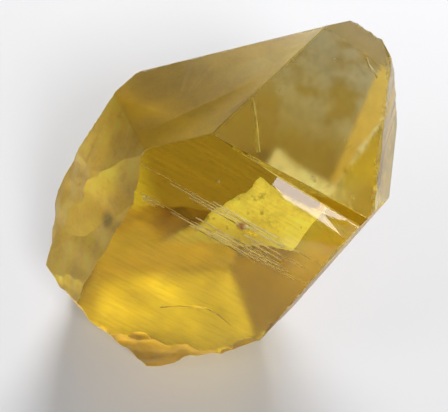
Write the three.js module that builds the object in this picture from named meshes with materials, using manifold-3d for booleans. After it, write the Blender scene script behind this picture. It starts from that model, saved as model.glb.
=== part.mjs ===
// A golden gem crystal: a six-sided prism under a six-faced point, broken at its foot.
// Millimetres, +Z up. The crystal lies on a flat break at its foot, and its point leans up.
import * as THREE from "three";
import { mergeVertices } from "three/addons/utils/BufferGeometryUtils.js";
import Module from "manifold-3d";

const wasm = await Module();
wasm.setup();

// Driving dimensions. Each face has a direction and a reach, its distance from the heart of
// the crystal. "around" is the angle about the long axis, 0 at the front face, and "above"
// is the angle up from the sides of the prism towards the point.
const prism = {
  front: { around: 0, above: 0, reach: 7.1 },
  frontLeft: { around: -60, above: 0, reach: 13.0 },
  frontRight: { around: 60, above: 0, reach: 13.55 },
  backLeft: { around: -120, above: 0, reach: 13.55 },
  backRight: { around: 120, above: 0, reach: 13.0 },
  back: { around: 180, above: 0, reach: 7.0 },
};
const pointSlope = 38.2;
const point = {
  front: { around: 0, above: pointSlope, reach: 12.85 },
  frontLeft: { around: -60, above: pointSlope, reach: 14.5 },
  frontRight: { around: 60, above: pointSlope, reach: 18.7 },
  backLeft: { around: -120, above: pointSlope, reach: 16.5 },
  backRight: { around: 120, above: pointSlope, reach: 22.1 },
  back: { around: 180, above: pointSlope, reach: 19.05 },
};

// The shallow wedge at the top of the front face, and the narrow ledge above it: a notch
// with a steep shelf below and a brow above.
const wedge = { around: 1.5, above: 6.8, reach: 8.42 };
const ledgeShelf = { around: 4.3, above: 63.6, reach: 13.39 };
const ledgeBrow = { around: 5.1, above: -66.8, reach: -8.18 };

// Growth steps across the front face: the face drops a little below each of these heights.
const growthSteps = [
  { below: 5.3, drop: 0.07 },
  { below: 2.45, drop: 0.15 },
];

// Bundles of growth lines, each a run of fine grooves across a side of the prism. Heights
// are along the long axis, and from and to are measured across that side.
const lineBundles = [
  { side: prism.front, height: 5.1, spread: 0.75, from: -6.9, to: 8.5, count: 9, depth: 0.16 },
  { side: prism.front, height: 2.5, spread: 0.7, from: -5.2, to: 11.0, count: 9, depth: 0.18 },
  { side: prism.front, height: 2.2, spread: 0.5, from: -8.6, to: -6.0, count: 3, depth: 0.1 },
  { side: prism.frontRight, height: 3.6, spread: 3.2, from: -6.0, to: -2.2, count: 5, depth: 0.1 },
  { side: prism.backRight, height: 6.5, spread: 1.6, from: -6.5, to: 4.5, count: 6, depth: 0.14 },
  { side: prism.backRight, height: 0.5, spread: 1.0, from: -5.5, to: 5.5, count: 4, depth: 0.12 },
  { side: prism.backLeft, height: 2.0, spread: 1.8, from: -4.5, to: 4.0, count: 5, depth: 0.12 },
];
const grooveHalfWidth = 0.13;

// The break that takes the lower part of the front left face: a floor parallel to that
// face and a sloping riser that joins the two.
const recessFloor = { around: -60, above: -3, reach: 11.0, rough: 0.16 };
const recessRiser = { around: -37.5, above: -14.2, reach: 10.35, rough: 0.14 };

// The thick root behind the back face, where the crystal broke off: a shelf above it and
// its own back.
const rootTop = { around: -88, above: 62, reach: -4.3, rough: 0.22 };
const rootBack = { around: 176, above: -10, reach: 14.0, rough: 0.26 };

// Breaks along the left side, at the foot and at the point, and the level one it lies on.
const leftSideBreak = { around: -116, above: -24, reach: 15.5, rough: 0.24 };
const leftLobeBreak = { around: -57.5, above: -11, reach: 12.55, rough: 0.16 };
const leftFootBreak = { around: -35, above: -59, reach: 16.6, rough: 0.26 };
const frontFootBreak = { around: 10.8, above: -27.1, reach: 12.4, rough: 0.24 };
const rightFootBreak = { around: 68.9, above: -30.7, reach: 14.8, rough: 0.28 };
const tipBreak = { around: 130, above: 54, reach: 24.5, rough: 0.08 };
const restBreak = { around: 137.2, above: -45.6, reach: 14.85 };

// Shell-shaped ripples on a break: rings about the place where the blow fell.
const rippleReach = 14;
const ripplePitch = 3.4;

// Shallow chips knocked out of the edge between two faces. Each place along an edge is
// a distance across the crystal or a height up the long axis, followed by the chip's size.
const edgeChips = [
  {
    between: [point.front, point.back],
    at: across,
    places: [[-3.2, 0.5], [-1.7, 0.9], [-0.2, 0.5], [1.3, 1.0], [3.0, 0.8], [4.4, 0.6]],
  },
  {
    between: [point.front, point.frontRight],
    at: level,
    places: [[23.7, 0.9], [22.4, 0.7], [20.6, 0.4], [18.4, 0.3], [15.9, 0.45], [14.2, 0.3]],
  },
  {
    between: [prism.front, prism.frontRight],
    at: level,
    places: [[8.6, 0.3], [5.4, 0.5], [0.2, 0.35], [-4.4, 0.9]],
  },
  { between: [prism.front, rightFootBreak], at: level, places: [[-8.0, 1.7], [-9.8, 1.0]] },
  { between: [prism.front, frontFootBreak], at: across, places: [[0.4, 1.3], [-3.6, 1.0]] },
  { between: [point.back, point.backRight], at: level, places: [[20.8, 0.8], [18.0, 0.5]] },
  { between: [prism.back, prism.backRight], at: level, places: [[9.0, 0.7], [4.5, 0.4]] },
  { between: [prism.backLeft, prism.back], at: level, places: [[5.0, 0.5], [1.5, 0.9]] },
];
const chipRoundness = 1.6;
const chipDepth = 0.4;

// The small pits in the front face.
const pits = [
  { across: 1.94, up: 4.75, radius: 0.5 },
  { across: -3.16, up: 7.76, radius: 0.28 },
  { across: -8.2, up: 2.2, radius: 0.3 },
  { across: 7.6, up: 2.5, radius: 0.32 },
  { across: 3.4, up: 2.9, radius: 0.26 },
];

// How the crystal lies: the long axis leans away from upright, heads off from +X, and the
// crystal is spun about it so that its rest break is level.
const lean = 44.4;
const heading = 38.0;
const spin = -137.2;

// The block that the crystal is cut from, and the cutters, which must be larger than it.
const blockSide = 60;
const cutterSide = 110;
const cutterDepth = 60;
const breakSide = 60;
const breakCells = 64;

const degrees = THREE.MathUtils.degToRad;

function solidOf(geometry) {
  geometry.deleteAttribute("normal");
  geometry.deleteAttribute("uv");
  const merged = mergeVertices(geometry, 1e-5);
  const vertProperties = new Float32Array(merged.attributes.position.array);
  const triVerts = new Uint32Array(merged.index.array);
  return new wasm.Manifold(new wasm.Mesh({ numProp: 3, vertProperties, triVerts }));
}

function directionOf({ around, above }) {
  const flat = Math.cos(degrees(above));
  const x = flat * Math.cos(degrees(around));
  const y = flat * Math.sin(degrees(around));
  return new THREE.Vector3(x, y, Math.sin(degrees(above)));
}

// Height of a broken surface: rings about the blow, and slow uneven waves.
function brokenHeight(u, v, rough, seed) {
  const fromBlow = Math.hypot(u - rippleReach, v + rippleReach);
  const rings = Math.sin((2 * Math.PI * fromBlow) / ripplePitch + seed);
  const waves =
    Math.sin(0.61 * u + 0.37 * v + 2.1 * seed) +
    Math.sin(-0.43 * u + 0.83 * v + 1.3 * seed) +
    0.6 * Math.sin(1.45 * u - 1.1 * v + 0.7 * seed) +
    0.5 * Math.sin(1.2 * u + 1.9 * v + 1.9 * seed);
  return rough * (0.3 * rings + 0.55 * waves);
}

// A block that lies wholly beyond a face. Its inner side is flat, or uneven for a break.
function beyond(face) {
  const side = face.rough ? breakSide : cutterSide;
  const cells = face.rough ? breakCells : 1;
  const geometry = new THREE.BoxGeometry(side, side, cutterDepth, cells, cells, 1);
  geometry.translate(0, 0, cutterDepth / 2);
  const place = geometry.attributes.position;
  for (let i = 0; i < place.count; i += 1) {
    const onInnerSide = Math.abs(place.getZ(i)) < 1e-6;
    if (onInnerSide && face.rough) {
      place.setZ(i, brokenHeight(place.getX(i), place.getY(i), face.rough, face.around));
    }
  }
  geometry.translate(0, 0, face.reach);
  const turn = new THREE.Quaternion();
  turn.setFromUnitVectors(new THREE.Vector3(0, 0, 1), directionOf(face));
  geometry.applyQuaternion(turn);
  return solidOf(geometry);
}

// How far the front face has dropped at a height, after its growth steps.
function frontDrop(height) {
  const passed = growthSteps.filter((step) => height < step.below);
  return Math.max(0, ...passed.map((step) => step.drop));
}

function growthStepCut(step) {
  const cut = new THREE.BoxGeometry(cutterDepth, cutterSide, cutterDepth);
  const reach = prism.front.reach - step.drop;
  cut.translate(reach + cutterDepth / 2, 0, step.below - cutterDepth / 2);
  return solidOf(cut);
}

// A fine groove: a thin four-sided spindle laid across a side, nearly pointed at its ends.
function groove(side, height, from, to, depth) {
  const spindle = new THREE.CylinderGeometry(1, 1, 1, 4, 4);
  const place = spindle.attributes.position;
  for (let i = 0; i < place.count; i += 1) {
    const along = place.getY(i);
    const fullness = Math.abs(along) > 0.49 ? 0.15 : 1;
    const x = place.getX(i) * depth * fullness;
    const z = place.getZ(i) * grooveHalfWidth * fullness;
    place.setXYZ(i, x, from + (along + 0.5) * (to - from), z);
  }
  const drop = side === prism.front ? frontDrop(height) : 0;
  spindle.translate(side.reach - drop, 0, height);
  spindle.rotateZ(degrees(side.around));
  return solidOf(spindle);
}

// Grooves of one bundle, spread about its height with uneven starts and ends.
function bundleGrooves(bundle) {
  const grooves = [];
  const length = bundle.to - bundle.from;
  for (let i = 0; i < bundle.count; i += 1) {
    const height = bundle.height + bundle.spread * (i / (bundle.count - 1) - 0.5);
    const start = bundle.from + length * 0.16 * (1 + Math.sin(4.7 * i));
    const end = bundle.to - length * 0.2 * (1 + Math.sin(2.9 * i + 1));
    const depth = bundle.depth * (0.7 + 0.3 * Math.sin(3.1 * i));
    grooves.push(groove(bundle.side, height, start, end, depth));
  }
  return grooves;
}

// The point where three faces meet.
function meetingPoint(faces) {
  const [a, b, c] = faces.map(directionOf);
  const rows = new THREE.Matrix3().set(a.x, a.y, a.z, b.x, b.y, b.z, c.x, c.y, c.z);
  const reaches = new THREE.Vector3(...faces.map((face) => face.reach));
  return reaches.applyMatrix3(rows.invert());
}

function across(reach) {
  return { around: 90, above: 0, reach };
}

function level(reach) {
  return { around: 0, above: 90, reach };
}

function ballCut(centre, radius) {
  const ball = new THREE.IcosahedronGeometry(radius, 2);
  ball.translate(centre.x, centre.y, centre.z);
  return solidOf(ball);
}

function pitCut(pit) {
  const lift = 0.6 * pit.radius;
  const out = prism.front.reach - frontDrop(pit.up) + lift;
  return ballCut(new THREE.Vector3(out, pit.across, pit.up), pit.radius);
}

// A chip is the shallow bite of a ball whose middle stands off outside the edge.
function edgeChipCuts({ between, at, places }) {
  const outward = directionOf(between[0]).add(directionOf(between[1])).normalize();
  return places.map(([place, size]) => {
    const radius = chipRoundness * size;
    const centre = meetingPoint([...between, at(place)]);
    centre.addScaledVector(outward, radius - chipDepth * size);
    return ballCut(centre, radius);
  });
}

function crystalSolid() {
  const aroundPrism = Object.values(prism).filter((side) => side !== prism.back);
  const faces = [...aroundPrism, ...Object.values(point), wedge];
  const footBreaks = [leftFootBreak, frontFootBreak, rightFootBreak, restBreak];
  const cuts = [
    ...faces.map(beyond),
    ...growthSteps.map(growthStepCut),
    ...lineBundles.flatMap(bundleGrooves),
    ...pits.map(pitCut),
    ...edgeChips.flatMap(edgeChipCuts),
    beyond(ledgeShelf).intersect(beyond(ledgeBrow)),
    beyond(recessFloor).intersect(beyond(recessRiser)),
    beyond(prism.back).intersect(beyond(rootTop)),
    beyond(rootBack),
    beyond(leftSideBreak),
    beyond(leftLobeBreak),
    beyond(tipBreak),
    ...footBreaks.map(beyond),
  ];
  const block = solidOf(new THREE.BoxGeometry(blockSide, blockSide, blockSide));
  return cuts.reduce((solid, cut) => solid.subtract(cut), block);
}

function geometryOf(solid) {
  const { vertProperties, triVerts } = solid.getMesh();
  const geometry = new THREE.BufferGeometry();
  geometry.setAttribute("position", new THREE.BufferAttribute(vertProperties, 3));
  geometry.setIndex(new THREE.BufferAttribute(triVerts, 1));
  geometry.computeVertexNormals();
  return geometry;
}

// Clear golden crystal.
const goldenCrystal = new THREE.MeshStandardMaterial({
  color: 0xd9a21b,
  roughness: 0.12,
  metalness: 0,
  flatShading: true,
});

const crystal = new THREE.Mesh(geometryOf(crystalSolid()), goldenCrystal);
crystal.name = "topaz_crystal";
const turned = new THREE.Matrix4()
  .makeRotationZ(degrees(heading))
  .multiply(new THREE.Matrix4().makeRotationY(degrees(lean)))
  .multiply(new THREE.Matrix4().makeRotationZ(degrees(spin)));
crystal.quaternion.setFromRotationMatrix(turned);

// The origin is on the surface that the crystal rests on, under the middle of its box.
crystal.updateMatrixWorld(true);
const box = new THREE.Box3().setFromObject(crystal, true);
crystal.position.set(-(box.min.x + box.max.x) / 2, -(box.min.y + box.max.y) / 2, -box.min.z);

const group = new THREE.Group();
group.add(crystal);

export default group;
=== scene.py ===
"""A golden gem crystal on a pale floor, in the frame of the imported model.

The crystal is cut in its own coordinates, in millimetres: z is its long axis, x points out
of its front face, and the origin is its heart. It is then turned and set down in metres.
"""

import math

import bmesh
import bpy
import numpy as np
from mathutils import Matrix, Vector


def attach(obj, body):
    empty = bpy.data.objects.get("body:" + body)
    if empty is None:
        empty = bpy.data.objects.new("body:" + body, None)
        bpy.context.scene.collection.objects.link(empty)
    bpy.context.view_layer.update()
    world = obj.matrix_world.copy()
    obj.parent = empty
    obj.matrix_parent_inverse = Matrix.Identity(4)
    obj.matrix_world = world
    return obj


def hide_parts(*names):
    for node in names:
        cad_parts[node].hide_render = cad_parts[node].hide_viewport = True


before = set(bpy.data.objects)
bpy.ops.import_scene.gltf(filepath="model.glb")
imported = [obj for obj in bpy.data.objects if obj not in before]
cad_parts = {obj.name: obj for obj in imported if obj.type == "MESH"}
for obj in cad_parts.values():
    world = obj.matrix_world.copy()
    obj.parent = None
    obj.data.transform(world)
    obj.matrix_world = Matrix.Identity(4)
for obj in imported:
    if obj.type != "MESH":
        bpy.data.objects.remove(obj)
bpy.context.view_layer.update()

MM = 0.001


# ---------------------------------------------------------------- the faces

def face(around, above, reach, rough=0.0, finish=None):
    """A flat or broken face, as a plane.

    "around" is the angle about the long axis, 0 at the front face. "above" is the angle up
    from the sides of the prism towards the point. "reach" is the distance from the heart.
    """
    finish = finish or ("broken" if rough else "plain")
    return {"around": around, "above": above, "reach": reach, "rough": rough, "finish": finish}


POINT_SLOPE = 38.2
PRISM = {
    "front": face(0, 0, 7.1, finish="front"),
    "front_left": face(-60, 0, 13.0, finish="hazy"),
    "front_right": face(60, 0, 13.55, finish="amber"),
    "back_left": face(-120, 0, 13.55, finish="olive"),
    "back_right": face(120, 0, 13.0, finish="olive"),
    "back": face(180, 0, 7.0, finish="back"),
}
POINT = {
    "front": face(0, POINT_SLOPE, 12.85, finish="frosted"),
    "front_left": face(-60, POINT_SLOPE, 14.5, finish="satin"),
    "front_right": face(60, POINT_SLOPE, 18.7, finish="frosted"),
    "back_left": face(-120, POINT_SLOPE, 16.5),
    "back_right": face(120, POINT_SLOPE, 22.1, finish="amber"),
    "back": face(180, POINT_SLOPE, 19.05, finish="pale"),
}
WEDGE = face(1.5, 6.8, 8.42, finish="front")
LEDGE_SHELF = face(4.3, 63.6, 13.39, finish="ledge")
LEDGE_BROW = face(5.1, -66.8, -8.18, finish="ledge")

RECESS_FLOOR = face(-60, -3, 11.0, 0.08, "hazy")
RECESS_RISER = face(-37.5, -14.2, 10.35, 0.06, "hazy")
ROOT_TOP = face(-88, 62, -4.3, 0.22, "root")
ROOT_BACK = face(176, -10, 14.0, 0.26, "rear")
BACK_PATCH = face(180, 0, 6.7, 0.16, "patch")
BACK_PATCH_TOP = face(0, -90, -6.4, 0.35)
BACK_PATCH_LEFT = face(90, -18, 0.6, 0.45)
LEFT_SIDE_BREAK = face(-116, -24, 15.5, 0.24, "foot")
LEFT_LOBE_BREAK = face(-57.5, -11, 12.55, 0.16, "hazy")
LEFT_FOOT_BREAK = face(-35, -59, 16.6, 0.26)
FRONT_FOOT_BREAK = face(10.8, -27.1, 12.4, 0.24, "foot")
RIGHT_FOOT_BREAK = face(68.9, -30.7, 14.8, 0.28)
TIP_BREAK = face(130, 54, 24.5, 0.08)
REST_BREAK = face(137.2, -45.6, 14.85, finish="root")

# Each finish: how dull, how much more where it is clouded, how pitted, and its colour.
FINISHES = {
    "plain": (0.03, 0.0, 0.0, (1.0, 0.70, 0.04)),
    "front": (0.03, 0.0, 0.0, (1.0, 0.70, 0.035)),
    "satin": (0.33, 0.10, 0.1, (0.88, 0.74, 0.10)),
    "hazy": (0.30, 0.2, 0.4, (1.0, 0.86, 0.06)),
    "frosted": (0.16, 0.12, 0.1, (1.0, 0.84, 0.38)),
    # The dark back, amber and olive tints of the faces behind are painted shade on what shows
    # through the crystal; amber also tints the front right side.
    "back": (0.03, 0.0, 0.0, (0.19, 0.10, 0.008)),
    "amber": (0.30, 0.1, 0.2, (0.72, 0.38, 0.03)),
    "olive": (0.30, 0.1, 0.0, (0.46, 0.22, 0.02)),
    # The pale tint of the point's back shows through as a painted sheen near the tip.
    "pale": (0.50, 0.1, 0.2, (1.0, 0.95, 0.85)),
    "ledge": (0.06, 0.1, 0.0, (0.66, 0.44, 0.04)),
    "broken": (0.20, 0.4, 1.0, (0.85, 0.56, 0.05)),
    # The foot and rear tints darken the low breaks as painted shade.
    "foot": (0.30, 0.2, 0.4, (0.55, 0.30, 0.012)),
    "rear": (0.36, 0.3, 1.0, (0.62, 0.40, 0.025)),
    "root": (0.34, 0.3, 1.0, (1.0, 0.80, 0.03)),
    # The patch tint is painted light: a pale lit patch seen through the front.
    "patch": (0.82, 0.18, 1.0, (1.0, 0.94, 0.70)),
    "lined": (0.40, 0.1, 0.0, (1.0, 0.92, 0.66)),
    "worn": (0.45, 0.2, 1.0, (1.0, 0.92, 0.66)),
    "chipped": (0.45, 0.2, 1.0, (1.0, 0.98, 0.90)),
    "crack": (0.60, 0.1, 1.0, (1.0, 0.95, 0.62)),
}
FINISH_NAMES = list(FINISHES)

# The back face is amber beyond this plane: a lighter painted shade than its dark back tint, so it
# shows lighter through the front.
AMBER_FROM = face(90, 11.1, 11.29)

# The front face drops a little below each of these heights.
GROWTH_STEPS = [(5.3, 0.07), (2.45, 0.15)]

# Bundles of growth lines: side, height, spread, from, to, count, depth.
LINE_BUNDLES = [
    ("front", 5.1, 0.9, -6.9, 7.5, 4, 0.10),
    ("front", 2.45, 1.15, -5.2, 11.0, 5, 0.11),
    ("front", 2.2, 0.6, -8.6, -6.0, 3, 0.06),
    ("front", 3.75, 0.5, 2.5, 10.5, 2, 0.05),
    ("front_right", 3.6, 3.2, -6.0, -2.2, 5, 0.1),
    ("back_right", 6.5, 1.6, -6.5, 4.5, 4, 0.06),
    ("back_left", 2.0, 1.8, -4.5, 4.0, 5, 0.12),
]

# How the crystal lies, and where its heart is above the floor.
LEAN = math.radians(44.4)
HEADING = math.radians(38.0)
SPIN = math.radians(-137.2)
HEART = Vector((-1.552, -1.242, 14.850))
CRYSTAL_TO_WORLD = (
    Matrix.Scale(MM, 4)
    @ Matrix.Translation(HEART)
    @ Matrix.Rotation(HEADING, 4, "Z")
    @ Matrix.Rotation(LEAN, 4, "Y")
    @ Matrix.Rotation(SPIN, 4, "Z")
)


def direction(f):
    around, above = math.radians(f["around"]), math.radians(f["above"])
    flat = math.cos(above)
    return Vector((flat * math.cos(around), flat * math.sin(around), math.sin(above)))


def turned_out(f):
    """The turn that takes +Z to the face's own direction, then out by its reach."""
    turn = Vector((0, 0, 1)).rotation_difference(direction(f)).to_matrix().to_4x4()
    return turn @ Matrix.Translation((0, 0, f["reach"]))


# ---------------------------------------------------------------- uneven surfaces

# Slow waves: how fast they run along u and v, their shift with the seed, and their share.
SLOW_WAVES = [
    (0.61, 0.37, 2.1, 1.0),
    (-0.43, 0.83, 1.3, 1.0),
    (1.45, -1.1, 0.7, 0.6),
    (1.2, 1.9, 1.9, 0.5),
]
SLOW_WAVE_HEIGHT = 0.55

# Rings around a place beside the break, with a fine hackle over them.
RING_CENTRE = (14, -14)
RING_PITCH = 3.4
RING_HEIGHT = 0.3
HACKLE_PITCH = 0.9
HACKLE_HEIGHT = 0.05

# Shell-shaped hollows, and how far each is shifted and lifted from an even grid.
SCALLOP_PITCH = 3.1
SCALLOP_HOLLOW = 0.8
SCALLOP_SPREAD = 21.0
SCALLOP_SHIFT = 0.42
SCALLOP_LIFT = 0.35
SCALLOP_SINK = 0.25

# The grain of a break: its pitch, its height and what is added to the seed.
BREAK_GRAINS = [(1.1, 0.08, 0), (0.45, 0.035, 3)]

# Waves of a grain: how each is turned from the one before, and its length in pitches.
GOLDEN_ANGLE = 2.39996
SHORTEST_WAVE = 0.8
WAVE_LENGTH_STEP = 0.04
WAVE_SHIFT = 5.3


def slow_waves(u, v, seed):
    total = np.zeros_like(u)
    for along_u, along_v, shift, share in SLOW_WAVES:
        total += share * np.sin(along_u * u + along_v * v + shift * seed)
    return SLOW_WAVE_HEIGHT * total


def rings(u, v, pitch, seed):
    far = np.hypot(u - RING_CENTRE[0], v - RING_CENTRE[1])
    return np.sin(2 * np.pi * far / pitch + seed)


def grain(u, v, pitch, seed, count=11):
    """Even noise of one size, from plane waves that run every way."""
    total = np.zeros_like(u)
    for i in range(count):
        angle = GOLDEN_ANGLE * (i + seed)
        rate = 2 * np.pi / (pitch * (SHORTEST_WAVE + WAVE_LENGTH_STEP * ((7 * i) % 11)))
        total += np.sin(rate * (u * np.cos(angle) + v * np.sin(angle)) + WAVE_SHIFT * i + seed)
    return total / math.sqrt(count)


def scallops(u, v, pitch, hollow, seed):
    """Shallow shell-shaped hollows that meet in sharp ridges, scattered by fast sines."""
    rows = int(2 * SCALLOP_SPREAD / pitch) + 1
    lowest = np.full_like(u, np.inf)
    for i in range(rows):
        for j in range(rows):
            k = i * rows + j
            shift_u = SCALLOP_SHIFT * pitch * math.sin(12.9898 * k + 3.1 * seed)
            shift_v = SCALLOP_SHIFT * pitch * math.sin(78.233 * k + 1.7 * seed)
            centre_u = (i - rows / 2) * pitch + shift_u
            centre_v = (j - rows / 2) * pitch + shift_v
            lift = SCALLOP_LIFT * hollow * math.sin(37.7 * k + seed)
            rise = hollow * ((u - centre_u) ** 2 + (v - centre_v) ** 2) / pitch ** 2 + lift
            np.minimum(lowest, rise, out=lowest)
    return lowest - SCALLOP_SINK * hollow


def broken_height(f):
    """The height over the plane of a break, with a seed and a roughness of its own."""
    seed, rough = f["around"], f["rough"]

    def height(u, v):
        shape = rough * (RING_HEIGHT * rings(u, v, RING_PITCH, seed) + slow_waves(u, v, seed))
        hollows = scallops(u, v, SCALLOP_PITCH, SCALLOP_HOLLOW * rough, seed)
        hackle = HACKLE_HEIGHT * rough * rings(u, v, HACKLE_PITCH, seed)
        fine = sum(
            high * rough * grain(u, v, pitch, seed + more)
            for pitch, high, more in BREAK_GRAINS
        )
        return shape + hollows + hackle + fine

    return height


# Growth lines: the half width of a groove, the length over which it fades out, how much of
# its bundle it may miss at each end, and its depth as a mean and a swing.
GROOVE_HALF_WIDTH = 0.06
LINE_FADE = 1.2
LATE_START = 0.16
EARLY_END = 0.2
LINE_DEPTH = (0.65, 0.35)

# What breaks a line up: a mean, a swing, the most, and the pitch, squash and waves of a grain.
LINE_BREAKS = (0.85, 0.45, 1.2)
LINE_GRAIN = (2.1, 0.3, 5)

# The growth steps: how wide each is, and the waves of its edge as height, rate and shift.
STEP_WIDTH = 0.06
STEP_WAVES = [(0.03, 0.7, 0), (0.015, 2.3, 1)]


def wavy(middle, y, waves):
    """A level that wanders a little from its middle."""
    level = middle
    for high, rate, shift in waves:
        level = level + high * np.sin(rate * y + shift)
    return level


def lines_height(name):
    """The dips of the growth lines across a side: z is the height, y is across it."""
    bundles = [b for b in LINE_BUNDLES if b[0] == name]
    mean, swing = LINE_DEPTH
    break_mean, break_swing, break_most = LINE_BREAKS
    grain_pitch, squash, waves = LINE_GRAIN

    def height(z, y):
        dip = np.zeros_like(z)
        for _, middle, spread, start, end, count, depth in bundles:
            length = end - start
            for i in range(count):
                at = middle + spread * (i / (count - 1) - 0.5)
                first = start + length * LATE_START * (1 + math.sin(4.7 * i))
                last = end - length * EARLY_END * (1 + math.sin(2.9 * i + 1))
                deep = depth * (mean + swing * math.sin(3.1 * i + 0.8))
                wander = wavy(at, y, [(0.02, 0.9, i), (0.012, 3.7, 2 * i)])
                near = np.clip(1 - np.abs(z - wander) / GROOVE_HALF_WIDTH, 0, 1)
                fade_in = np.clip((y - first) / LINE_FADE, 0, 1)
                fade_out = np.clip((last - y) / LINE_FADE, 0, 1)
                whole = break_mean + break_swing * grain(y, squash * z, grain_pitch, i, waves)
                whole = np.clip(whole, 0, break_most)
                dip = np.minimum(dip, -deep * near * (fade_in * fade_out) * whole)
        if name == "front":
            for below, drop in GROWTH_STEPS:
                edge = wavy(below, y, STEP_WAVES)
                dip = dip - np.clip((edge - z) / STEP_WIDTH, 0, 1) * drop_of(below, drop)
        return dip

    return height


def drop_of(below, drop):
    """What one step adds to the drops above it."""
    above = [d for b, d in GROWTH_STEPS if b > below]
    return drop - max(above, default=0.0)


# ---------------------------------------------------------------- meshes and cuts

# The block that the crystal is cut from, and the cutters.
BLOCK_SIDE = 60
CUTTER_SIDE = 60
CUTTER_DEPTH = 40

# A slab on this face isn't turned.
UNTURNED = face(0, 90, 0)

# A fine range takes the place of the coarse grid within it, to this tolerance.
GRID_TOLERANCE = 1e-6
GRID_DECIMALS = 5

# A face of a slab is level when its height changes by less than this.
FLAT_WITHIN = 1e-4

# A slab has its inner side, and these besides.
OUTER_SIDES = 5

BALL_SUBDIVISIONS = 4


def mark(mesh, finishes):
    """Writes the number of its finish on each face. The cuts pass the numbers on."""
    layer = mesh.attributes.new("finish", "INT", "FACE")
    layer.data.foreach_set("value", [FINISH_NAMES.index(name) for name in finishes])


def object_of(name, vertices, polygons, finish=None):
    mesh = bpy.data.meshes.new(name)
    mesh.from_pydata(vertices, [], polygons)
    mesh.update()
    if finish:
        mark(mesh, [finish] * len(polygons))
    made = bpy.data.objects.new(name, mesh)
    bpy.context.scene.collection.objects.link(made)
    return made


def evenly(start, end, pitch):
    return np.linspace(start, end, int(round((end - start) / pitch)) + 1)


def spaced(pitch, fine=()):
    """Grid places from side to side of a cutter, closer together in the fine ranges."""
    half = CUTTER_SIDE / 2
    coarse = evenly(-half, half, pitch)
    for low, high, _ in fine:
        coarse = coarse[(coarse < low - GRID_TOLERANCE) | (coarse > high + GRID_TOLERANCE)]
    closer = [evenly(*each) for each in fine]
    return np.unique(np.round(np.concatenate([coarse] + closer), GRID_DECIMALS))


def slab(name, f, us, vs, height, finish, uneven_finish=None):
    """A block wholly beyond a face. Its inner side follows the height over (u, v).

    Where the height isn't level, the block has the uneven finish, if there is one.
    """
    grid_u, grid_v = np.meshgrid(us, vs, indexing="ij")
    heights = height(grid_u, grid_v)
    inner = np.stack([grid_u, grid_v, heights], axis=-1)
    rows, columns = grid_u.shape
    u0, u1, v0, v1 = us[0], us[-1], vs[0], vs[-1]
    top = [(u0, v0), (u1, v0), (u1, v1), (u0, v1)]
    outer = [(u, v, CUTTER_DEPTH) for u, v in top]
    vertices = [tuple(p) for p in inner.reshape(-1, 3)] + outer
    a, b, c, d = range(rows * columns, rows * columns + 4)

    def at(i, j):
        return i * columns + j

    polygons = [
        (at(i, j), at(i, j + 1), at(i + 1, j + 1), at(i + 1, j))
        for i in range(rows - 1)
        for j in range(columns - 1)
    ]
    last_row, last_column = rows - 1, columns - 1
    polygons.append((a, b, c, d))
    polygons.append([at(i, 0) for i in range(rows)] + [b, a])
    polygons.append([at(last_row, j) for j in range(columns)] + [c, b])
    polygons.append([at(i, last_column) for i in reversed(range(rows))] + [d, c])
    polygons.append([at(0, j) for j in reversed(range(columns))] + [a, d])
    made = object_of(name, vertices, polygons)
    corners = np.stack([heights[:-1, :-1], heights[:-1, 1:], heights[1:, :-1], heights[1:, 1:]])
    uneven = (np.ptp(corners, axis=0) > FLAT_WITHIN).ravel()
    finishes = [uneven_finish if uneven_finish and rises else finish for rises in uneven]
    mark(made.data, finishes + [finish] * OUTER_SIDES)
    made.data.transform(turned_out(f))
    return made


def side_slab(name, f, zs, ys, height):
    """As slab, for a side of the prism: its grid runs along and across the long axis."""
    made = slab(name, UNTURNED, zs, ys, height, f["finish"], "lined")
    upright = Matrix(((0, 0, 1, 0), (0, 1, 0, 0), (1, 0, 0, 0), (0, 0, 0, 1)))
    turn = Matrix.Rotation(math.radians(f["around"]), 4, "Z")
    made.data.transform(turn @ Matrix.Translation((f["reach"], 0, 0)) @ upright)
    made.data.flip_normals()
    return made


def cut_flat(mesh, f):
    """Cuts away what is beyond a flat face, and closes the cut."""
    out = direction(f)
    everything = mesh.verts[:] + mesh.edges[:] + mesh.faces[:]
    cut = bmesh.ops.bisect_plane(
        mesh, geom=everything, plane_co=out * f["reach"], plane_no=out, clear_outer=True
    )
    rim = [e for e in cut["geom_cut"] if isinstance(e, bmesh.types.BMEdge)]
    if rim:
        bmesh.ops.contextual_create(mesh, geom=rim)


def ball(name, centre, radius, finish):
    mesh = bmesh.new()
    bmesh.ops.create_icosphere(mesh, subdivisions=BALL_SUBDIVISIONS, radius=radius)
    bmesh.ops.translate(mesh, verts=mesh.verts, vec=centre)
    data = bpy.data.meshes.new(name)
    mesh.to_mesh(data)
    mesh.free()
    mark(data, [finish] * len(data.polygons))
    made = bpy.data.objects.new(name, data)
    bpy.context.scene.collection.objects.link(made)
    return made


def join_by(base, others, operation):
    """The base after one Boolean with each of the others, which are then removed."""
    for other in others:
        step = base.modifiers.new(other.name, "BOOLEAN")
        step.operation = operation
        step.solver = "MANIFOLD"
        step.object = other
    bpy.context.view_layer.update()
    seen = base.evaluated_get(bpy.context.evaluated_depsgraph_get())
    result = bpy.data.meshes.new_from_object(seen)
    base.modifiers.clear()
    base.data = result
    for other in others:
        bpy.data.objects.remove(other)
    return base


def meeting_point(faces):
    rows = np.array([direction(f) for f in faces])
    reaches = np.array([f["reach"] for f in faces])
    return Vector(np.linalg.solve(rows, reaches))


# ---------------------------------------------------------------- chips and pits

def across(reach):
    return face(90, 0, reach)


def level(reach):
    return face(0, 90, reach)


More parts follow.
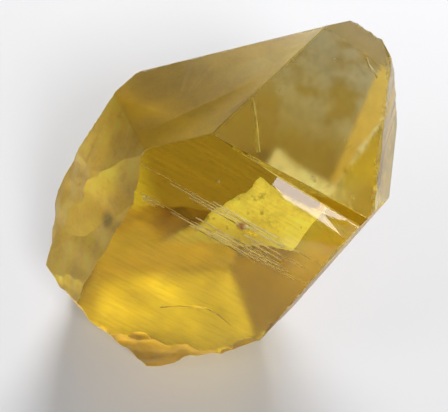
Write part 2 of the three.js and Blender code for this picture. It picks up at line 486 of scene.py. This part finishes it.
# Chips along the edges: the two faces, what the third number of a place measures, and the
# places with their sizes.
CHIPS = [
    (POINT["front"], POINT["back"], across,
     [(-3.2, 0.5), (-1.7, 0.9), (-0.2, 0.5), (1.3, 1.0), (3.0, 0.8), (4.4, 0.6)]),
    (POINT["front"], POINT["front_right"], level,
     [(23.9, 0.5), (23.2, 0.4), (22.3, 0.3), (20.6, 0.3), (18.4, 0.2), (15.9, 0.3), (14.2, 0.2)]),
    (PRISM["front"], PRISM["front_right"], level,
     [(8.6, 0.3), (5.4, 0.5), (0.2, 0.35), (-4.4, 0.9)]),
    (PRISM["front"], RIGHT_FOOT_BREAK, level, [(-8.0, 1.7), (-9.8, 1.0)]),
    (PRISM["front"], FRONT_FOOT_BREAK, across, [(0.4, 1.3), (-3.6, 1.0)]),
    (POINT["back"], POINT["back_right"], level, [(20.8, 0.8), (18.0, 0.5)]),
    (PRISM["back"], PRISM["back_right"], level, [(9.0, 0.7), (4.5, 0.4)]),
    (PRISM["back_left"], PRISM["back"], level, [(5.0, 0.5), (1.5, 0.9)]),
]
CHIP_ROUNDNESS = 1.6
CHIP_DEPTH = 0.4
LARGE_CHIP = 0.65
PIT_LIFT = 0.6

# Pits and specks: the face, the place and the radius.
PITS = [
    (PRISM["front"], (7.03, 1.94, 4.75), 0.5),
    (PRISM["front"], (7.1, -3.16, 7.76), 0.17),
    (PRISM["front"], (6.95, -8.2, 2.2), 0.3),
    (PRISM["front"], (7.03, 7.6, 2.5), 0.32),
    (PRISM["front"], (7.03, 3.4, 2.9), 0.26),
    (POINT["front"], (6.29, 4.62, 12.79), 0.3),
    (POINT["front"], (6.33, 4.9, 12.6), 0.16),
    (POINT["front"], (6.02, 9.37, 13.13), 0.2),
    (POINT["front"], (-0.17, -3.62, 21.0), 0.18),
    (POINT["front"], (0.56, -2.54, 20.07), 0.16),
    (POINT["front"], (2.62, -2.39, 17.45), 0.14),
    (POINT["front"], (-0.94, 1.4, 21.97), 0.16),
    (POINT["front"], (3.14, 6.0, 16.79), 0.12),
    (PRISM["front_left"], (5.78, -11.67, 3.9), 0.2),
    (RECESS_FLOOR, (4.33, -12.51, -5.29), 0.3),
    (RECESS_FLOOR, (4.75, -12.27, -3.67), 0.22),
    (RECESS_FLOOR, (3.99, -12.71, -3.94), 0.16),
    (RECESS_FLOOR, (5.69, -11.72, -3.34), 0.18),
    (RECESS_FLOOR, (1.75, -14.0, -4.2), 0.16),
    (POINT["front_left"], (-0.25, -8.47, 14.28), 0.1),
    (POINT["front_left"], (4.25, -9.92, 9.83), 0.1),
]


def chip_balls():
    balls = []
    for one, other, at, places in CHIPS:
        outward = (direction(one) + direction(other)).normalized()
        for place, size in places:
            radius = CHIP_ROUNDNESS * size
            centre = meeting_point([one, other, at(place)])
            centre += outward * (radius - CHIP_DEPTH * size)
            finish = "chipped" if size < LARGE_CHIP else "foot"
            balls.append(ball("chip_ball", centre, radius, finish))
    return balls


def pit_balls():
    balls = []
    for f, place, radius in PITS:
        centre = Vector(place) + PIT_LIFT * radius * direction(f)
        balls.append(ball("pit_ball", centre, radius, "chipped"))
    return balls


# Cracks: the places they run through, their face, how deep they go, how wide they gape, and
# their finish.
CRACKS = [
    ([(3.98, -4.55, 15.72), (4.11, -4.2, 15.56), (4.75, -3.46, 14.74), (5.48, -2.62, 13.81),
      (6.58, -1.47, 12.41)], POINT["front"], 1.2, 0.16, "crack"),
    ([(-2.23, 4.41, 23.61), (-1.94, 5.03, 23.25), (-1.7, 5.74, 22.94), (-1.51, 6.42, 22.7)],
     POINT["front"], 0.5, 0.26, "chipped"),
    ([(6.95, 1.9, 4.45), (6.95, 2.45, 4.25), (6.95, 3.0, 4.3), (6.95, 3.5, 4.6)],
     PRISM["front"], 0.35, 0.05, "crack"),
    ([(6.95, 0.18, -8.75), (6.95, 1.65, -7.47), (6.95, 4.27, -6.23), (6.95, 5.88, -6.15),
      (6.95, 7.98, -6.58)], PRISM["front"], 0.4, 0.04, "olive"),
    ([(7.1, -4.1, 11.51), (7.1, -2.51, 11.53), (7.1, -0.68, 11.57)],
     PRISM["front"], 0.4, 0.06, "crack"),
]
CRACK_TOP = 0.3
CRACK_LEAN = 0.12
CRACK_LEAN_RATE = 2.1


def crack_blade(points, f, deep, wide, finish):
    """A thin blade along a line of places. Its lower edge leans to and fro."""
    out = direction(f)
    places = [Vector(p) for p in points]
    vertices, polygons = [], []
    for i, p in enumerate(places):
        before, after = places[max(i - 1, 0)], places[min(i + 1, len(places) - 1)]
        side = (after - before).cross(out).normalized() * wide / 2
        lean = CRACK_LEAN * math.sin(CRACK_LEAN_RATE * i) * side.normalized()
        top = p + CRACK_TOP * out
        vertices += [top + side, top - side, p - deep * out + lean]
    for i in range(len(places) - 1):
        a, b = 3 * i, 3 * (i + 1)
        polygons += [(a + m, a + n, b + n, b + m) for m, n in ((0, 1), (1, 2), (2, 0))]
    last = 3 * (len(places) - 1)
    polygons += [(2, 1, 0), (last, last + 1, last + 2)]
    blade = object_of("crack", [tuple(v) for v in vertices], polygons, finish)
    mesh = bmesh.new()
    mesh.from_mesh(blade.data)
    bmesh.ops.recalc_face_normals(mesh, faces=mesh.faces)
    mesh.to_mesh(blade.data)
    mesh.free()
    return blade


# Worn edges: the two faces, how deep the wear goes, and how uneven it is. Each is a strip.
WORN_EDGES = [
    (POINT["front"], POINT["front_right"], 0.10, 1.0),
    (POINT["front"], POINT["back"], 0.16, 1.2),
    (POINT["front"], POINT["front_left"], 0.03, 0.3),
    (POINT["front_left"], PRISM["front_left"], 0.05, 0.4),
    (POINT["front_left"], PRISM["front"], 0.03, 0.3),
    (POINT["front_left"], POINT["back_left"], 0.06, 0.8),
    (PRISM["front"], PRISM["front_left"], 0.04, 0.5),
    (PRISM["front"], PRISM["front_right"], 0.09, 1.1),
    (PRISM["front_right"], POINT["front_right"], 0.06, 0.8),
    (POINT["front_right"], POINT["back_right"], 0.08, 0.9),
    (PRISM["front_right"], PRISM["back_right"], 0.08, 0.9),
    (PRISM["front_left"], PRISM["back_left"], 0.08, 0.9),
    (PRISM["back"], PRISM["back_right"], 0.07, 0.8),
    (PRISM["back"], PRISM["back_left"], 0.07, 0.8),
    (PRISM["back_right"], POINT["back_right"], 0.06, 0.8),
    (PRISM["back_left"], POINT["back_left"], 0.06, 0.8),
    (WEDGE, LEDGE_SHELF, 0.04, 0.4),
]
WORN_HALF_WIDTH = 3.0
LEDGE_HALF_WIDTH = 0.3
WORN_PITCH = 0.075
WORN_FINE = (-24.0, 24.0, 0.16)
WORN_COARSE = 4.0

# Edges more uneven than this have the worn finish.
WORN_FROM = 0.45

# The wear is two grains, fine and slow. Bites are where a third one is above a level, and
# their depth goes with the wear.
FINE_WEAR = 0.9
SLOW_WEAR = 2.3
BITE_PITCH = 4.5
BITE_SQUASH = 0.3
BITE_LEVEL = 1.1
BITE_DEPTH = 0.5
BITE_WEAR = 0.1


def edge_slab(number, one, other, depth, uneven):
    """A block that takes a thin, uneven strip off the edge between two faces."""
    first, second = direction(one), direction(other)
    out = (first + second).normalized()
    along = first.cross(second).normalized()
    aside = out.cross(along)
    rows = np.array([first, second, along])
    place = Vector(np.linalg.solve(rows, np.array([one["reach"], other["reach"], 0.0])))
    us = spaced(WORN_COARSE, [WORN_FINE])
    half = LEDGE_HALF_WIDTH if one is WEDGE else WORN_HALF_WIDTH
    vs = np.linspace(-half, half, int(half / WORN_PITCH) + 1)

    def height(u, v):
        fine = 0.5 * grain(u, v, FINE_WEAR, number)
        slow = 0.5 * grain(u, v, SLOW_WEAR, number + 5)
        bites = np.clip(grain(u, BITE_SQUASH * v, BITE_PITCH, number + 9) - BITE_LEVEL, 0, 1)
        return depth * uneven * (fine + slow) - bites * BITE_DEPTH * uneven * depth / BITE_WEAR

    finish = "worn" if uneven > WORN_FROM else "satin"
    made = slab("edge", UNTURNED, us, vs, height, finish)
    frame_of_edge = Matrix((along, aside, out)).transposed().to_4x4()
    made.data.transform(Matrix.Translation(place - depth * out) @ frame_of_edge)
    return made


def worn_slabs():
    """The edges of the back face stop at the root, so their wear does too."""
    slabs = []
    for number, (one, other, depth, uneven) in enumerate(WORN_EDGES):
        worn = edge_slab(number, one, other, depth, uneven)
        if one is PRISM["back"]:
            worn = join_by(worn, [break_slab("root_top", ROOT_TOP)], "INTERSECT")
        slabs.append(worn)
    return slabs


# ---------------------------------------------------------------- the crystal

# Grids of the cutters: the coarse pitch, and the fine ranges with their pitches.
COARSE_PITCH = 3.0
BREAK_FINE = (-18.0, 18.0, 0.24)
ACROSS_FINE = (-13.0, 13.0, 0.2)
LINE_PITCH = 0.035
LINE_MARGIN = 0.25
FRONT_LINES = (1.7, 5.75)

# Faces that meet at less than this angle are shaded as one.
SHARP_FROM = math.radians(22)


def finish_at(place, flats):
    """The finish of the flat face that a place is on."""
    gaps = [abs(place.dot(direction(f)) - f["reach"]) for f in flats]
    return flats[gaps.index(min(gaps))]["finish"]


def crystal_block():
    """The flat faces, cut from a block one after another. The other faces come later."""
    mesh = bmesh.new()
    bmesh.ops.create_cube(mesh, size=BLOCK_SIDE)
    lined = {b[0] for b in LINE_BUNDLES}
    plain_sides = [f for name, f in PRISM.items() if name not in lined and name != "back"]
    flats = plain_sides + list(POINT.values()) + [WEDGE, REST_BREAK]
    for f in flats:
        cut_flat(mesh, f)
    data = bpy.data.meshes.new("crystal")
    mesh.to_mesh(data)
    mesh.free()
    mark(data, [finish_at(polygon.center, flats) for polygon in data.polygons])
    made = bpy.data.objects.new("crystal", data)
    bpy.context.scene.collection.objects.link(made)
    return made


def lined_sides():
    slabs = []
    for name in sorted({b[0] for b in LINE_BUNDLES}):
        fine = [
            (middle - spread / 2 - LINE_MARGIN, middle + spread / 2 + LINE_MARGIN, LINE_PITCH)
            for side, middle, spread, *_ in LINE_BUNDLES
            if side == name
        ]
        if name == "front":
            fine = [(*FRONT_LINES, LINE_PITCH)]
        zs = spaced(COARSE_PITCH, fine)
        ys = spaced(COARSE_PITCH, [ACROSS_FINE])
        slabs.append(side_slab("side_" + name, PRISM[name], zs, ys, lines_height(name)))
    return slabs


def flat_slab(name, f):
    sides = [-CUTTER_SIDE / 2, CUTTER_SIDE / 2]
    return slab(name, f, sides, sides, lambda u, v: 0 * u, f["finish"])


def break_slab(name, f):
    places = spaced(COARSE_PITCH, [BREAK_FINE])
    return slab(name, f, places, places, broken_height(f), f["finish"])


def crystal():
    body = crystal_block()
    floor = break_slab("recess_floor", RECESS_FLOOR)
    riser = break_slab("recess_riser", RECESS_RISER)
    recess = join_by(floor, [riser], "INTERSECT")
    shelf = flat_slab("ledge_shelf", LEDGE_SHELF)
    ledge = join_by(shelf, [flat_slab("ledge_brow", LEDGE_BROW)], "INTERSECT")
    back = flat_slab("back", PRISM["back"])
    above_root = join_by(back, [break_slab("root_top", ROOT_TOP)], "INTERSECT")
    patch = break_slab("back_patch", BACK_PATCH)
    patch_sides = [BACK_PATCH_TOP, BACK_PATCH_LEFT, ROOT_TOP]
    patch = join_by(patch, [break_slab("patch_side", f) for f in patch_sides], "INTERSECT")
    breaks = {
        "root_back": ROOT_BACK,
        "left_side_break": LEFT_SIDE_BREAK,
        "left_lobe_break": LEFT_LOBE_BREAK,
        "left_foot_break": LEFT_FOOT_BREAK,
        "front_foot_break": FRONT_FOOT_BREAK,
        "right_foot_break": RIGHT_FOOT_BREAK,
        "tip_break": TIP_BREAK,
    }
    cuts = lined_sides() + [recess, above_root, ledge, patch]
    cuts += [break_slab(name, f) for name, f in breaks.items()]
    cuts += worn_slabs()
    cuts += chip_balls() + pit_balls() + [crack_blade(*crack) for crack in CRACKS]
    return join_by(body, cuts, "DIFFERENCE")


def refinish_beyond(mesh, old, new, f):
    """Splits the faces of one finish along a plane and gives those beyond it another."""
    cut = bmesh.new()
    cut.from_mesh(mesh)
    layer = cut.faces.layers.int["finish"]
    own = [p for p in cut.faces if p[layer] == FINISH_NAMES.index(old)]
    parts = set(own) | {e for p in own for e in p.edges} | {v for p in own for v in p.verts}
    out = direction(f)
    bmesh.ops.bisect_plane(cut, geom=list(parts), plane_co=out * f["reach"], plane_no=out)
    for p in cut.faces:
        if p[layer] == FINISH_NAMES.index(old) and p.calc_center_median().dot(out) > f["reach"]:
            p[layer] = FINISH_NAMES.index(new)
    cut.to_mesh(mesh)
    cut.free()


piece = crystal()
refinish_beyond(piece.data, "back", "amber", AMBER_FROM)


# ---------------------------------------------------------------- finish of each face

# Finishes that change along the face or have growth stripes.
FLAGGED_FINISHES = ("front", "root", "frosted", "back")


def write_finish(mesh):
    """Turns the number on each face into how dull, clouded, pitted and coloured it is."""
    count = len(mesh.polygons)
    numbers = np.zeros(count, np.int32)
    mesh.attributes["finish"].data.foreach_get("value", numbers)
    for column, name in enumerate(("dull", "clouded", "pitted")):
        values = np.array([FINISHES[n][column] for n in FINISH_NAMES], np.float32)
        layer = mesh.attributes.new(name, "FLOAT", "FACE")
        layer.data.foreach_set("value", values[numbers])
    colours = np.array([(*FINISHES[n][3], 1) for n in FINISH_NAMES], np.float32)
    layer = mesh.attributes.new("tint", "FLOAT_COLOR", "FACE")
    layer.data.foreach_set("color", colours[numbers].ravel())
    for name in FLAGGED_FINISHES:
        flags = (numbers == FINISH_NAMES.index(name)).astype(np.float32)
        layer = mesh.attributes.new(name, "FLOAT", "FACE")
        layer.data.foreach_set("value", flags)
    mesh.polygons.foreach_set("use_smooth", np.ones(count, bool))
    mesh.attributes.remove(mesh.attributes["finish"])


write_finish(piece.data)
piece.name = "crystal"
piece.data.name = "crystal"
piece.data.transform(CRYSTAL_TO_WORLD)
piece.data.set_sharp_from_angle(angle=SHARP_FROM)


# ---------------------------------------------------------------- materials

IOR = 1.55
GLOSS = 0.2
ABSORPTION_DENSITY = 50.0
ABSORPTION_COLOUR = (0.91, 0.83, 0.10)

# Directions in the crystal's own coordinates, seen from its front.
UP = (0, 0, 1)
RIGHT = (0, 1, 0)
DOWN_LEFT = (0, -0.7, -0.7)

# Stained places: where they are, how wide they are, and their colour.
STAINS = [
    ((7.0, 1.6, 4.7), 0.75, (0.35, 0.10, 0.02)),
    ((5.14, -9.56, -3.19), 1.3, (0.30, 0.30, 0.03)),
]
STAIN_CORE = 0.3

# The front of the point pales towards the tip: frost with a painted sheen.
TIP_FADE = (14.0, 23.0)
TIP_SHARE = 0.8
TIP_SHEEN_AND_FROST_COLOUR = (0.80, 0.80, 0.72)

# The back face is golden low on its left, where its dark painted shade is left out, and has
# greyish blotches of painted shade high up.
LOW_BACK_FADE = (4.0, 8.5)
LOW_BACK_COLOUR = (1.0, 0.76, 0.07)
HIGH_BACK_FADE = (7.0, 15.0)
HIGH_BACK_SHADE_COLOUR = (0.31, 0.245, 0.11)
BLOTCH_FADE = (0.38, 0.62)

# The root has painted shade at its top and on its right, which leaves its low part as a painted
# glow:
# along which axis, from where to where, and how much.
ROOT_PAINTED_SHADE = [
    (direction(ROOT_TOP), -9.5, -3.5, 0.5),
    (RIGHT, -3.0, 5.0, 0.5),
]

# The front face is duller low down.
FRONT_DULL_FADE = (6.0, -3.0)
FRONT_DULL = 0.23

# Noises: scale, detail and roughness.
CLOUDS = (600.0, 6.0, 0.65)
BLOTCHES = (260.0, 3.0, 0.6)
MOTTLE = (420.0, 3.0, 0.6)
SPECKS = (800.0, 3.0, 0.6)
GRAINS = (2600.0, 3.0, 0.7)
STRIPES = (3000.0, 2.0)
SWELL = (160.0, 1.0)
FINE_PITS = (3200.0, 3.0)

# How much each changes the tint.
MOTTLE_STRENGTH = 6.0
SPECK_FADE = (0.58, 0.70)
SPECK_STRENGTH = 0.5
STRIPE_STRENGTH = 1.0
GRAIN_STRENGTH = 0.35
STRIPE_STRETCH = 0.1

# How much each lifts the surface.
SWELL_HEIGHT = 0.25
PIT_HEIGHT = 0.05
STRIPE_HEIGHT = 0.01
BUMP_STRENGTH = 0.6
BUMP_DISTANCE = 0.0004


def node(tree, kind, **inputs):
    made = tree.nodes.new(kind)
    for name, value in inputs.items():
        made.inputs[name.replace("_", " ")].default_value = value
    return made


def math_node(tree, operation, *values):
    made = tree.nodes.new("ShaderNodeMath")
    made.operation = operation
    for socket, value in zip(made.inputs, values):
        if isinstance(value, (int, float)):
            socket.default_value = value
        else:
            tree.links.new(value, socket)
    return made.outputs[0]


def product(tree, first, second):
    return math_node(tree, "MULTIPLY", first, second)


def product_plus(tree, first, second, added):
    return math_node(tree, "MULTIPLY_ADD", first, second, added)


def centred(tree, value):
    """A noise moved to swing about zero."""
    return math_node(tree, "SUBTRACT", value, 0.5)


def darkened(tree, shade, share, most):
    """The shade, less up to a part of it where the share is 1."""
    return product(tree, shade, product_plus(tree, share, -most, 1.0))


def noise(tree, place, scale, detail, rough=0.5):
    made = node(tree, "ShaderNodeTexNoise", Scale=scale, Detail=detail, Roughness=rough)
    tree.links.new(place, made.inputs["Vector"])
    return made.outputs["Fac"]


def attribute(tree, name, output="Fac"):
    made = tree.nodes.new("ShaderNodeAttribute")
    made.attribute_type = "GEOMETRY"
    made.attribute_name = name
    return made.outputs[output]


def mixed(tree, factor, first, second):
    made = tree.nodes.new("ShaderNodeMix")
    made.data_type = "RGBA"
    tree.links.new(factor, made.inputs[0])
    for socket, value in zip(made.inputs[6:8], (first, second)):
        if isinstance(value, tuple):
            socket.default_value = (*value, 1)
        else:
            tree.links.new(value, socket)
    return made.outputs[2]


def in_world(own_axis):
    """One of the crystal's own directions, as it lies on the floor."""
    return CRYSTAL_TO_WORLD.to_3x3() @ Vector(own_axis) / MM


def place_along(tree, place, own_axis):
    made = tree.nodes.new("ShaderNodeVectorMath")
    made.operation = "DOT_PRODUCT"
    tree.links.new(place, made.inputs[0])
    made.inputs[1].default_value = in_world(own_axis)
    return made.outputs["Value"]


def stretched(tree, place):
    """The place with what is across the long axis drawn out, for fine growth stripes."""
    made = tree.nodes.new("ShaderNodeCombineXYZ")
    across_axis = product(tree, place_along(tree, place, RIGHT), STRIPE_STRETCH)
    tree.links.new(place_along(tree, place, UP), made.inputs["X"])
    tree.links.new(across_axis, made.inputs["Y"])
    return made.outputs["Vector"]


def share_of(tree, value, start, end):
    """From 0 to 1 as a value goes from a start to an end."""
    ramp = node(tree, "ShaderNodeMapRange", From_Min=start, From_Max=end)
    ramp.interpolation_type = "SMOOTHSTEP"
    tree.links.new(value, ramp.inputs["Value"])
    return ramp.outputs["Result"]


def share_along(tree, place, own_axis, start, end):
    """From 0 to 1 between two places, in millimetres, along an axis of the crystal."""
    heart = HEART.dot(in_world(own_axis)) * MM
    far = place_along(tree, place, own_axis)
    return share_of(tree, far, heart + start * MM, heart + end * MM)


def nearness(tree, place, centre, size):
    """1 at a place on the crystal, given in its own millimetres, and 0 beyond a size."""
    far = tree.nodes.new("ShaderNodeVectorMath")
    far.operation = "DISTANCE"
    tree.links.new(place, far.inputs[0])
    far.inputs[1].default_value = CRYSTAL_TO_WORLD @ Vector(centre)
    return share_of(tree, far.outputs["Value"], size * MM, STAIN_CORE * size * MM)


def crystal_roughness(tree, place):
    clouds = noise(tree, place, *CLOUDS)
    rough = product_plus(tree, attribute(tree, "clouded"), clouds, attribute(tree, "dull"))
    low = share_along(tree, place, UP, *FRONT_DULL_FADE)
    low_front = product(tree, attribute(tree, "front"), low)
    return product_plus(tree, low_front, FRONT_DULL, rough)


def growth_stripes(tree, place):
    stripes = centred(tree, noise(tree, stretched(tree, place), *STRIPES))
    return product(tree, stripes, attribute(tree, "front"))


def crystal_tint(tree, place):
    """The colour of each finish, with the stains and the changes along the faces: the pale tip is
    frost with a painted sheen, the back face's blotches are painted shade.
    """
    colour = attribute(tree, "tint", "Color")
    for centre, size, stain in STAINS:
        colour = mixed(tree, nearness(tree, place, centre, size), colour, stain)
    near_tip = share_along(tree, place, UP, *TIP_FADE)
    pale = product(tree, attribute(tree, "frosted"), near_tip)
    colour = mixed(tree, product(tree, pale, TIP_SHARE), colour, TIP_SHEEN_AND_FROST_COLOUR)
    back = attribute(tree, "back")
    low_back = product(tree, back, share_along(tree, place, DOWN_LEFT, *LOW_BACK_FADE))
    colour = mixed(tree, low_back, colour, LOW_BACK_COLOUR)
    high_back = product(tree, back, share_along(tree, place, UP, *HIGH_BACK_FADE))
    blotches = share_of(tree, noise(tree, place, *BLOTCHES), *BLOTCH_FADE)
    return mixed(tree, product(tree, high_back, blotches), colour, HIGH_BACK_SHADE_COLOUR)


def crystal_shade(tree, place, stripes):
    """How bright the tint is from place to place, with painted shade at the top and right of the
    root.
    """
    mottle = centred(tree, noise(tree, place, *MOTTLE))
    mottle = product(tree, attribute(tree, "clouded"), mottle)
    shade = product_plus(tree, mottle, MOTTLE_STRENGTH, 1.0)
    root = attribute(tree, "root")
    for axis, start, end, darker in ROOT_PAINTED_SHADE:
        share = product(tree, root, share_along(tree, place, axis, start, end))
        shade = darkened(tree, shade, share, darker)
    specks = share_of(tree, noise(tree, place, *SPECKS), *SPECK_FADE)
    specks = product(tree, specks, attribute(tree, "pitted"))
    shade = darkened(tree, shade, specks, SPECK_STRENGTH)
    shade = product_plus(tree, stripes, STRIPE_STRENGTH, shade)
    grains = centred(tree, noise(tree, place, *GRAINS))
    return product_plus(tree, grains, GRAIN_STRENGTH, shade)


def crystal_relief(tree, place, stripes):
    """The bump of the surface: a slow swell, fine pits and the growth stripes."""
    pitted = product(tree, attribute(tree, "pitted"), PIT_HEIGHT)
    pits = product(tree, noise(tree, place, *FINE_PITS), pitted)
    height = product_plus(tree, noise(tree, place, *SWELL), SWELL_HEIGHT, pits)
    height = product_plus(tree, stripes, STRIPE_HEIGHT, height)
    bump = node(tree, "ShaderNodeBump", Strength=BUMP_STRENGTH, Distance=BUMP_DISTANCE)
    tree.links.new(height, bump.inputs["Height"])
    return bump.outputs["Normal"]


def crystal_material():
    material = bpy.data.materials.new("golden_crystal")
    material.use_nodes = True
    tree = material.node_tree
    shader = tree.nodes["Principled BSDF"]
    shader.inputs["Transmission Weight"].default_value = 1.0
    shader.inputs["IOR"].default_value = IOR
    shader.inputs["Specular IOR Level"].default_value = GLOSS
    place = tree.nodes.new("ShaderNodeTexCoord").outputs["Object"]
    stripes = growth_stripes(tree, place)

    colour = tree.nodes.new("ShaderNodeVectorMath")
    colour.operation = "SCALE"
    tree.links.new(crystal_tint(tree, place), colour.inputs[0])
    tree.links.new(crystal_shade(tree, place, stripes), colour.inputs["Scale"])
    tree.links.new(colour.outputs["Vector"], shader.inputs["Base Color"])
    tree.links.new(crystal_roughness(tree, place), shader.inputs["Roughness"])
    tree.links.new(crystal_relief(tree, place, stripes), shader.inputs["Normal"])

    absorb = node(tree, "ShaderNodeVolumeAbsorption", Density=ABSORPTION_DENSITY)
    absorb.inputs["Color"].default_value = (*ABSORPTION_COLOUR, 1)
    output = tree.nodes["Material Output"]
    tree.links.new(absorb.outputs["Volume"], output.inputs["Volume"])
    return material


FLOOR_COLOUR = (0.72, 0.72, 0.73, 1)
FLOOR_ROUGHNESS = 0.85


def floor_material():
    material = bpy.data.materials.new("pale_floor")
    material.use_nodes = True
    shader = material.node_tree.nodes["Principled BSDF"]
    shader.inputs["Base Color"].default_value = FLOOR_COLOUR
    shader.inputs["Roughness"].default_value = FLOOR_ROUGHNESS
    return material


piece.data.materials.clear()
piece.data.materials.append(crystal_material())
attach(piece, "root")
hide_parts("topaz_crystal")


# ---------------------------------------------------------------- floor, light, camera

# The floor is a hair below the crystal, so that the two don't touch.
FLOOR_HALF = 1.5
FLOOR_DROP = 0.00004
WORLD_COLOUR = (0.80, 0.82, 0.88, 1)
WORLD_STRENGTH = 0.10

corners = [(-1, -1), (1, -1), (1, 1), (-1, 1)]
floor = object_of(
    "floor",
    [(x * FLOOR_HALF, y * FLOOR_HALF, -FLOOR_DROP) for x, y in corners],
    [(0, 1, 2, 3)],
)
floor.data.materials.append(floor_material())

world = bpy.data.worlds.new("studio")
world.use_nodes = True
background = world.node_tree.nodes["Background"]
background.inputs["Color"].default_value = WORLD_COLOUR
background.inputs["Strength"].default_value = WORLD_STRENGTH
bpy.context.scene.world = world

# Lights around the crystal: name, angle around, angle up, size and power.
AROUND_LIGHTS = [
    ("key_light", 300, 50, (0.12, 0.12), 0.68),
    ("back_light", 80, 31, (0.18, 0.10), 2.1),
    ("left_light", 190, 22, (0.12, 0.12), 0.28),
]
LIGHT_DISTANCE = 0.4
LIGHT_TARGET = Vector((0, 0, 0.012))

# The light whose reflection whitens the wedge.
FRONT_LIGHT_PLACE = Vector((0.118, -0.386, 0.071))
FRONT_LIGHT_SIZE = (0.14, 0.072)
FRONT_LIGHT_POWER = 0.27
FRONT_LIGHT_COLOUR = (0.92, 0.90, 1.0)


def soft_light(name, place, size, power, colour=(1, 1, 1)):
    light = bpy.data.lights.new(name, "AREA")
    light.shape = "RECTANGLE"
    light.size, light.size_y = size
    light.energy = power
    light.color = colour
    made = bpy.data.objects.new(name, light)
    made.location = place
    made.rotation_euler = (LIGHT_TARGET - place).to_track_quat("-Z", "Y").to_euler()
    bpy.context.scene.collection.objects.link(made)


for name, around, above, size, power in AROUND_LIGHTS:
    soft_light(name, direction(face(around, above, 0)) * LIGHT_DISTANCE, size, power)
soft_light(
    "front_light", FRONT_LIGHT_PLACE, FRONT_LIGHT_SIZE, FRONT_LIGHT_POWER, FRONT_LIGHT_COLOUR
)

CAMERA_FROM_HEART = Vector((2.2, -42.0, 81.1))
CAMERA_TILT = math.radians(28)
CAMERA_LENS = 66.96
CAMERA_SENSOR = 36.0
CAMERA_NEAREST = 0.005

camera_data = bpy.data.cameras.new("camera")
camera_data.lens = CAMERA_LENS
camera_data.sensor_width = CAMERA_SENSOR
camera_data.clip_start = CAMERA_NEAREST
camera = bpy.data.objects.new("camera", camera_data)
camera.location = (HEART + CAMERA_FROM_HEART) * MM
camera.rotation_euler = (CAMERA_TILT, 0, 0)
bpy.context.scene.collection.objects.link(camera)
bpy.context.scene.camera = camera

scene = bpy.context.scene
scene.cycles.max_bounces = 24
scene.cycles.transmission_bounces = 24
scene.cycles.glossy_bounces = 12
scene.cycles.diffuse_bounces = 6
scene.view_settings.view_transform = "Standard"
